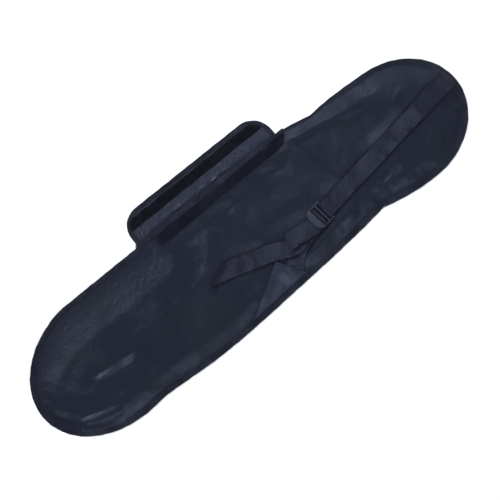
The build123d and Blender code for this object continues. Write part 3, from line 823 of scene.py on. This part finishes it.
flap_left, flap_right, flap_far = flap_low[0], flap_high[0], flap_high[1]
flap_line = np.vstack([
    [(flap_right, flap_tape_start)],
    corner_arc((flap_right - flap_corner_right, flap_far - flap_corner_right), flap_corner_right, 0, 90),
    corner_arc((flap_left + flap_corner_left, flap_far - flap_corner_left), flap_corner_left, 90, 180),
    [(flap_left, flap_tape_start)],
])
flap_line = even_steps(flap_line, 0.002, closed=False)
flap_tape = folded_tape("flap_tape", flap_line, 0.0, flap_high[2], flap_tape_width, 13)
finish_piece(flap_tape, [binding_tape], None, angle=50)
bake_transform(flap_tape)
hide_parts("flap_binding")
flap_stitch_line = flap_line + inward(flap_line) * flap_stitch_inset
flap_thread = stitches("flap_thread", at_height(flap_stitch_line, flap_high[2] - stitch_sink)[3:-3])
finish_piece(flap_thread, [thread], None)
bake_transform(flap_thread)
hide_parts("flap_stitching")

loop_pile = fabric(
    "loop_tape", (0.0016, 0.0016, 0.0030), (0.0070, 0.0070, 0.0105), 0.9, threads=500, weave_depth=0.0002,
    crinkle_depth=0.0020, specular=0.08, sheen=0.04, shine=0.04, crinkle=600.0, patch=60.0)
loop_tape = flat_tape(
    "loop_tape", (-0.1655, 0.1765), (0.1760, 0.1785), 0.0215, 0.0009,
    lambda line: np.full(len(line), flap_cloth_mid + 0.0005), 9, wander=0.0008)
# Its ends are trimmed round with the flap's corners.
loop_edge_gap, trim_reach = 0.0055, 0.07
loop_places = read_points(loop_tape)
loop_span = loop_places[:, 0].min(), loop_places[:, 0].max()
for edge, corner, way in ((flap_left, flap_corner_left, 1), (flap_right, flap_corner_right, -1)):
    end = loop_span[0] if way > 0 else loop_span[1]
    trimmed = corner - loop_edge_gap
    above = np.clip(loop_places[:, 1] - (flap_far - corner), 0, trimmed - 0.0002)
    limit = edge + way * (corner - np.sqrt(trimmed ** 2 - above ** 2))
    shift = np.clip((limit - end) * way, 0, 1)
    nearness = np.clip(1 - (loop_places[:, 0] - end) * way / trim_reach, 0, 1)
    loop_places[:, 0] += way * shift * nearness
write_points(loop_tape, loop_places)
finish_piece(loop_tape, [loop_pile], "flap", angle=50)
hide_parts("flap_loop_tape")

# ---------------------------------------------------------------------------------------------------------
# Shoulder strap: a wide, smooth cloth strap sewn under the binding at the head's tip, and heavy woven
# webbing sewn on it, which runs down to the buckle's fixed bar, round it and back.
webbing_width = 0.038
webbing_thickness = 0.0015
wide_width, wide_thickness = 0.041, 0.0014
strap_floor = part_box("shoulder_webbing")[0][2]
low_run = strap_floor + webbing_thickness / 2
overlap_run = strap_floor + wide_thickness + 0.0008
bar_station = float(np.linalg.norm((fixed_bar - strap_root)[:2]))
bar_height = float(fixed_bar[2])
wrap_radius = 0.00295


def strap_place(route):
    """Places in the frame of a route given as distance from the strap's root, and height."""
    route = np.asarray(route)
    return np.column_stack([strap_root[:2] + route[:, :1] * strap_way, route[:, 1]])


def half_turn(station, height, radius, first, last, steps=14):
    """Route points round a bar, between two angles in degrees."""
    angles = np.radians(np.linspace(first, last, steps))
    return [(station + radius * cos(a), height + radius * sin(a)) for a in angles]


def strip(name, origins, sides, width, thickness, bow=0.0, seed=0, wander=0.0, roll=0.0):
    """A flat strip along places, its width along `sides`, with a slight wander and roll."""
    origins = np.asarray(origins, dtype=float)
    sides = np.broadcast_to(sides, origins.shape).astype(float)
    steps = headings(origins)
    sides = sides - steps * (sides * steps).sum(1)[:, None]
    sides /= np.linalg.norm(sides, axis=1)[:, None]
    ups = np.cross(steps, sides)
    marks = along_path(origins)
    origins = origins + sides * (wander * ripple(marks, 0.12, seed))[:, None]
    tilt = (roll * ripple(marks, 0.07, seed + 1))[:, None]
    turned_sides = sides * np.cos(tilt) + ups * np.sin(tilt)
    turned_ups = ups * np.cos(tilt) - sides * np.sin(tilt)
    return sweep(name, origins, turned_sides, turned_ups, strip_profile(width, thickness, bow))


def turn_run(points, share=0.25, times=4):
    """The same path, its corners softened by cutting them back a few times."""
    path = np.asarray(points, dtype=float)
    for _ in range(times):
        cut = np.repeat(path, 2, axis=0)
        cut[1:-1:2] = path[:-1] * (1 - share) + path[1:] * share
        cut[2:-1:2] = path[:-1] * share + path[1:] * (1 - share)
        path = cut
    return path


# Both straps darken in tone towards their edges: painted shade.
webbing = fabric(
    "webbing", (0.0008, 0.0010, 0.0022), (0.0230, 0.0250, 0.0400), 0.62, threads=430, weave_depth=0.0011,
    crinkle_depth=0.0003, slant=1.0, band=0.0095, specular=0.16, shine=0.06, patch=30.0, weave_show=1.6,
    edge_shade_half_width=webbing_width / 2)
strap_cloth = fabric(
    "strap_cloth", (0.0028, 0.0032, 0.0062), (0.0110, 0.0118, 0.0210), 0.5, threads=1500,
    weave_depth=0.00010, crinkle_depth=0.0010, specular=0.16, shine=0.08, patch=26.0,
    edge_shade_half_width=wide_width / 2)

side_3d = np.array([*strap_side, 0.0])
wide_route = even_steps(turn_run([
    (-0.012, 0.0024), (-0.003, 0.0042), (0.008, 0.0112), (0.022, 0.0152), (0.060, 0.0150), (0.110, 0.0152),
]), 0.002, closed=False)
wide_strap = strip(
    "wide_strap", strap_place(wide_route), side_3d, wide_width, wide_thickness, bow=0.0003, seed=2,
    wander=0.0004, roll=0.01)
finish_piece(wide_strap, [strap_cloth], None, angle=50)
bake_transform(wide_strap)
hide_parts("wide_strap_section")

webbing_route = even_steps(turn_run([
    (0.086, overlap_run), (0.111, overlap_run), (0.121, low_run), (0.22, low_run),
    (bar_station - 0.006, low_run), (bar_station, bar_height - wrap_radius),
]), 0.003, closed=False).tolist()
webbing_route += half_turn(bar_station, bar_height, wrap_radius, -80, 84)
webbing_route += turn_run([
    (bar_station - 0.001, bar_height + wrap_radius), (bar_station - 0.004, bar_height + 0.0012),
    (bar_station - 0.009, low_run + 0.0017), (bar_station - 0.019, low_run + 0.0016),
    (bar_station - 0.0215, low_run + 0.0021),
])[2::3].tolist()
shoulder_webbing = strip(
    "shoulder_strap", strap_place(webbing_route), side_3d, webbing_width, webbing_thickness, seed=5,
    wander=0.0005, roll=0.008)
finish_piece(shoulder_webbing, [webbing], "strap", angle=50)
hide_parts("shoulder_webbing")


def join(name, pieces):
    """Join pieces into the first one."""
    bpy.ops.object.select_all(action="DESELECT")
    for piece in pieces:
        piece.select_set(True)
    bpy.context.view_layer.objects.active = pieces[0]
    bpy.ops.object.join()
    pieces[0].name = name
    return pieces[0]


def rows_across(name, stations, height, half_row=0.0165):
    """Rows of stitches straight across the strap, at distances from its root."""
    rows = []
    for middle in strap_place([(station, height) for station in stations]):
        ends = np.array([middle - side_3d * half_row, middle + side_3d * half_row])
        rows.append(stitches("row", ends, pitch=0.003, length=0.0023))
    return join(name, rows)


overlap_top = overlap_run + webbing_thickness / 2
overlap_thread = rows_across("overlap_thread", (0.0885, 0.0915, 0.106), overlap_top)
finish_piece(overlap_thread, [thread], "strap")
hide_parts("overlap_stitching")
loop_top = low_run + 0.0017 + webbing_thickness / 2
loop_thread = rows_across("loop_thread", (bar_station - 0.017, bar_station - 0.013), loop_top)
finish_piece(loop_thread, [thread], "strap")
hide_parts("loop_stitching")

# ---------------------------------------------------------------------------------------------------------
# Ladder-lock buckle: one moulded frame with a fixed bar, a middle bar, a grip bar and a raised, rounded
# pull tab. The webbing loop holds it; the adjuster webbing goes over the grip bar.
rail_outer, slot_half = 0.023, 0.0205
frame_start, frame_end = -0.0032, 0.037
frame_half_height = 0.002
grip_station, middle_station, tab_station = 0.018, 0.009, 0.0232
bar_radius = 0.002
bar_half = slot_half + 0.001
middle_bar_half_width = 0.0017
pull_tab_start, pull_tab_rise = 0.019, 0.0024
buckle_place = Matrix((
    (strap_way[0], strap_side[0], 0, fixed_bar[0]),
    (strap_way[1], strap_side[1], 0, fixed_bar[1]),
    (0, 0, 1, fixed_bar[2]),
    (0, 0, 0, 1),
))


def block(low, high):
    """A box between two corners, as its own object, left in object mode."""
    bpy.ops.object.select_all(action="DESELECT")
    low, high = np.array(low), np.array(high)
    bpy.ops.mesh.primitive_cube_add(size=1, location=tuple((low + high) / 2))
    piece = bpy.context.object
    piece.scale = tuple(high - low)
    bpy.ops.object.transform_apply(location=True, rotation=True, scale=True)
    return piece


def round_corners(piece, near_station, radius, segments=8):
    """Round the upright edges at one end of a block."""
    pick(piece)
    bpy.ops.object.mode_set(mode="EDIT")
    bpy.ops.mesh.select_mode(type="EDGE")
    bpy.ops.mesh.select_all(action="DESELECT")
    bpy.ops.object.mode_set(mode="OBJECT")
    verts = piece.data.vertices
    for edge in piece.data.edges:
        a, b = (verts[i].co for i in edge.vertices)
        is_upright = abs(a.z - b.z) > 1e-4
        edge.select = is_upright and abs(a.x - near_station) < 1e-5 and abs(b.x - near_station) < 1e-5
    bpy.ops.object.mode_set(mode="EDIT")
    bpy.ops.mesh.bevel(offset=radius, segments=segments, affect="EDGES")
    bpy.ops.object.mode_set(mode="OBJECT")


def round_bar(station):
    """A round bar between the rails, its ends moulded into them."""
    bpy.ops.object.select_all(action="DESELECT")
    bpy.ops.mesh.primitive_cylinder_add(
        vertices=20, radius=bar_radius, depth=2 * bar_half, location=(station, 0, 0),
        rotation=(pi / 2, 0, 0))
    piece = bpy.context.object
    bpy.ops.object.transform_apply(location=True, rotation=True, scale=True)
    return piece


buckle_frame = block(
    (frame_start, -rail_outer, -frame_half_height), (frame_end, rail_outer, frame_half_height))
round_corners(buckle_frame, frame_end, 0.0145)
round_corners(buckle_frame, frame_start, 0.0022, segments=4)
opening = block((-0.03, -slot_half, -0.01), (tab_station, slot_half, 0.01))
apply_modifier(buckle_frame, "BOOLEAN", object=opening, operation="DIFFERENCE", solver="EXACT")
bpy.data.objects.remove(opening)
# The pull tab rises to its tip, and is hollowed out from below so that it is thinner than the rails.
frame_points = read_points(buckle_frame)
past = np.clip((frame_points[:, 0] - pull_tab_start) / (frame_end - pull_tab_start), 0, 1)
hollow = np.where(frame_points[:, 2] < 0, 0.0018 * smooth(past, 0, 0.3), 0)
frame_points[:, 2] += pull_tab_rise * past + hollow
write_points(buckle_frame, frame_points)
middle_bar = block(
    (middle_station - middle_bar_half_width, -bar_half, -0.0002),
    (middle_station + middle_bar_half_width, bar_half, frame_half_height))
buckle = join("buckle", [buckle_frame, middle_bar])
apply_modifier(buckle, "BEVEL", width=0.0005, segments=2, limit_method="ANGLE", angle_limit=radians(35))
buckle = join("buckle", [buckle, round_bar(0.0), round_bar(grip_station)])
buckle.data.transform(buckle_place)
buckle.data.update()
buckle_plastic = bpy.data.materials.new("moulded_plastic")
buckle_plastic.use_nodes = True
tree = buckle_plastic.node_tree
shader = tree.nodes["Principled BSDF"]
on_buckle = make_node(tree, "ShaderNodeTexCoord").outputs["Object"]
grain = make_node(tree, "ShaderNodeTexNoise", {"Vector": on_buckle, "Scale": 900.0, "Detail": 3.0})
scuffs = make_node(tree, "ShaderNodeTexNoise", {"Vector": on_buckle, "Scale": 120.0})
tones = make_node(tree, "ShaderNodeMix", {"Factor": scuffs.outputs["Fac"]}, data_type="RGBA")
tones.inputs[6].default_value = (0.014, 0.017, 0.026, 1)
tones.inputs[7].default_value = (0.026, 0.030, 0.044, 1)
tree.links.new(tones.outputs[2], shader.inputs["Base Color"])
rough = make_node(tree, "ShaderNodeMapRange", {
    "Value": grain.outputs["Fac"], "To Min": 0.38, "To Max": 0.55})
tree.links.new(rough.outputs["Result"], shader.inputs["Roughness"])
pits = make_node(tree, "ShaderNodeBump", {
    "Height": grain.outputs["Fac"], "Strength": 0.5, "Distance": 0.0001})
tree.links.new(pits.outputs["Normal"], shader.inputs["Normal"])
shader.inputs["Specular IOR Level"].default_value = 0.2
finish_piece(buckle, [buckle_plastic], "buckle", angle=40)
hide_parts("ladder_lock_buckle")

# ---------------------------------------------------------------------------------------------------------
# Adjuster: one length of the same webbing. It leaves the anchor tab, passes up through the buckle and over
# the grip bar, and its loose tail is folded once under itself and lies along the bag to its slanted tip.
grip_at = bar_station + grip_station
wrap_route = [(grip_at - 0.0042, bar_height - 0.0022), (grip_at - 0.0034, bar_height - 0.0008)]
wrap_route += half_turn(grip_at, bar_height, wrap_radius, 176, 4)
wrap_route += [(grip_at + 0.0034, bar_height - 0.0008), (grip_at + 0.0055, bar_height - 0.0018)]
wrap_route += [(grip_at + 0.010, bar_height - 0.0016)]
bar_wrap = strip("bar_wrap", strap_place(wrap_route), side_3d, webbing_width, webbing_thickness, seed=6)
finish_piece(bar_wrap, [webbing], "buckle", angle=50)
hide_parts("webbing_wrap")

leg_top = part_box("load_leg")[1][2]
leg_mid = leg_top - webbing_thickness / 2
leg_plan = turn_run([
    (0.0420, -0.0985), (0.0500, -0.0905), (0.0650, -0.0755), (0.0825, -0.0640), (0.1080, -0.0570),
    (0.1320, -0.0530), (0.1460, -0.0500),
])
leg_route = at_height(even_steps(leg_plan, 0.002, closed=False), leg_mid)
leg_ways = np.gradient(leg_route, axis=0)
leg_sides = flat_vectors(np.column_stack([-leg_ways[:, 1], leg_ways[:, 0]]))
adjuster_leg = strip(
    "adjuster_leg", leg_route, leg_sides, webbing_width, webbing_thickness, seed=8, wander=0.0003, roll=0.01)
# Near the tab it sinks until it lies on the front panel.
leg_points = read_points(adjuster_leg)
leg_bottom = leg_mid - 0.0013
sink = leg_bottom - np.minimum(on_cloth(leg_points, 24), leg_bottom)
leg_points[:, 2] -= sink * (1 - smooth(leg_points[:, 0], 0.055, 0.100))
write_points(adjuster_leg, leg_points)
finish_piece(adjuster_leg, [webbing], None, angle=50)
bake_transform(adjuster_leg)
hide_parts("load_leg")

front_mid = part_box("strap_tail")[1][2] - webbing_thickness / 2
tail_layer = 0.0019
tail_low_mid = front_mid - 2 * tail_layer
tail_route = even_steps(turn_run([
    (0.1400, -0.0480, bar_height - 0.0014), (0.1240, -0.0500, front_mid - 0.0012),
    (0.1050, -0.0480, front_mid), (0.0820, -0.0450, front_mid + 0.0030),
    (0.0700, -0.0440, front_mid + 0.0056),
    (0.0662, -0.0436, front_mid + 0.0030), (0.0700, -0.0440, front_mid - 0.3 * tail_layer),
    (0.0800, -0.0470, front_mid - tail_layer), (0.0900, -0.0510, front_mid - tail_layer),
    (0.0925, -0.0540, front_mid - 1.5 * tail_layer), (0.0900, -0.0570, tail_low_mid),
    (0.0780, -0.0600, tail_low_mid), (0.0620, -0.0560, tail_low_mid), (0.0450, -0.0475, tail_low_mid),
    (0.0290, -0.0395, leg_mid), (-0.0080, -0.0290, leg_mid), (-0.0470, -0.0168, leg_mid),
    (-0.0800, -0.0070, leg_mid), (-0.1200, 0.0010, leg_mid),
]), 0.0022, closed=False)
tail_headings = np.radians(np.interp(
    np.linspace(0, 1, len(tail_route)), (0, 0.22, 0.27, 0.32, 0.40, 0.53, 0.85, 1.0),
    (184, 174, 172, 160, 153, 162, 164, 163)))
tail_sides = flat_vectors(np.column_stack([np.sin(tail_headings), -np.cos(tail_headings)]))
loose_tail = strip(
    "loose_tail", tail_route, tail_sides, webbing_width, webbing_thickness, seed=3, wander=0.0004,
    roll=0.012)
# The tip is cut on the slant, and its last strip stands up from a slanted fold, curled over three lines.
cut_low, cut_high = np.array([-0.1205, -0.0200]), np.array([-0.0600, 0.0060])
fold_back = 0.0085
tip_part_end = 0.02            # only the tail's far part, past its fold, has the standing tip
cut_way = (cut_high - cut_low) / np.linalg.norm(cut_high - cut_low)
cut_out = np.array([-cut_way[1], cut_way[0]])
pick(loose_tail)
bpy.ops.object.mode_set(mode="EDIT")
bpy.ops.mesh.select_mode(type="VERT")
bpy.ops.mesh.select_all(action="SELECT")
bpy.ops.mesh.bisect(plane_co=(*cut_low, 0), plane_no=(*cut_out, 0), clear_outer=True, use_fill=True)
for share in (1, 0.66, 0.33):
    bpy.ops.mesh.select_all(action="SELECT")
    fold_at = cut_low - cut_out * fold_back * share
    bpy.ops.mesh.bisect(plane_co=(*fold_at, 0), plane_no=(*cut_out, 0))
bpy.ops.object.mode_set(mode="OBJECT")
tail_points = read_points(loose_tail)
beyond = np.clip((tail_points[:, :2] - cut_low) @ cut_out + fold_back, 0, 1)
stand = np.where(tail_points[:, 0] < tip_part_end, beyond, 0)
curl = np.clip(stand / fold_back, 0, 1) * radians(72)
tail_points[:, :2] -= cut_out * (stand * (1 - np.cos(curl)))[:, None]
tail_points[:, 2] += stand * np.sin(curl)
write_points(loose_tail, tail_points)
finish_piece(loose_tail, [webbing], "tail", angle=50)
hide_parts("strap_tail")

# ---------------------------------------------------------------------------------------------------------
# Anchor tab: a triangle of the shell cloth, caught in the side seam, with a double-sewn hem that holds the
# adjuster webbing's end. It lies on the front panel and creases where the webbing pulls.
tab_peak, tab_near, tab_far = (np.array(c) for c in ((0.025, -0.058), (0.059, -0.114), (-0.083, -0.124)))
hem_width = 0.010
tab_steps = 44
tab_hem = straight_run(tab_peak, tab_near, 0.002)
loose_side = straight_run(tab_peak, tab_far, 0.002)


def tab_height(places):
    """The tab lies on the panel, and its hem is lifted by the webbing under it."""
    from_hem = distance_to(places, tab_hem)
    raised = np.maximum(on_cloth(places, 50) + 0.0009, on_cloth(places) + 0.0005)
    over_webbing = smooth(distance_to(places, sewn_edge), 0.012, 0.022)
    raised += 0.0026 * over_webbing * (1 - smooth(from_hem, 0.010, 0.034))
    folded = 0.0007 * (1 - smooth(from_hem, hem_width - 0.001, hem_width + 0.001))
    folded += 0.0011 * (1 - smooth(distance_to(places, loose_side), 0.001, 0.010)) * over_webbing
    return raised + folded


rows = []
for down in np.linspace(0, 1, tab_steps):
    left = tab_peak + (tab_far - tab_peak) * down
    right = tab_peak + (tab_near - tab_peak) * down
    rows.append([left + (right - left) * part for part in np.linspace(0, 1, tab_steps)])
tab_places = np.array(rows).reshape(-1, 2)
tab_points = np.column_stack([tab_places, tab_height(tab_places)])
for crease in (
    ((0.030, -0.064), (0.020, -0.112), 0.006, 0.012, 0.0016),
    ((0.036, -0.076), (0.046, -0.116), 0.008, 0.005, 0.0012),
    ((0.018, -0.070), (-0.030, -0.116), 0.016, 0.008, 0.0012),
):
    add_crease(tab_points, *crease)
tab_faces = []
for r in range(tab_steps - 1):
    for corner in range(r * tab_steps, (r + 1) * tab_steps - 1):
        below = corner + tab_steps
        tab_faces.append((corner, below, below + 1, corner + 1))
anchor_cloth = add_piece("anchor_cloth", tab_points.tolist(), tab_faces)
face_outwards(anchor_cloth.data, merge_distance=0.00001)
apply_modifier(anchor_cloth, "SOLIDIFY", thickness=0.0006, offset=-1)
# A lighter copy of the shell cloth's colours: painted sheen, as the tab's slope catches the light.
tab_cloth_painted_sheen = fabric(
    "tab_cloth_painted_sheen", (0.0072, 0.0086, 0.0150), (0.0185, 0.0205, 0.0370), 0.40, threads=2400,
    weave_depth=0.00004, crinkle_depth=0.0012, on_uv=False, specular=0.26, patch=30.0)
finish_piece(anchor_cloth, [tab_cloth_painted_sheen], "bag", angle=60)
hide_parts("anchor_tab")

hem_way = (tab_near - tab_peak) / np.linalg.norm(tab_near - tab_peak)
hem_in = np.array([hem_way[1], -hem_way[0]])
tab_rows = []
for inset in (0.0035, 0.0085):
    row_start = tab_peak + hem_in * inset + hem_way * 0.004
    row_end = tab_near + hem_in * inset - hem_way * 0.006
    row = straight_run(row_start, row_end, 0.0015)
    tab_rows.append(stitches("row", np.column_stack([row, tab_height(row)]), 0.0032, 0.0024))
tab_thread = join("tab_thread", tab_rows)
finish_piece(tab_thread, [thread], "bag")
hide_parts("tab_stitching")
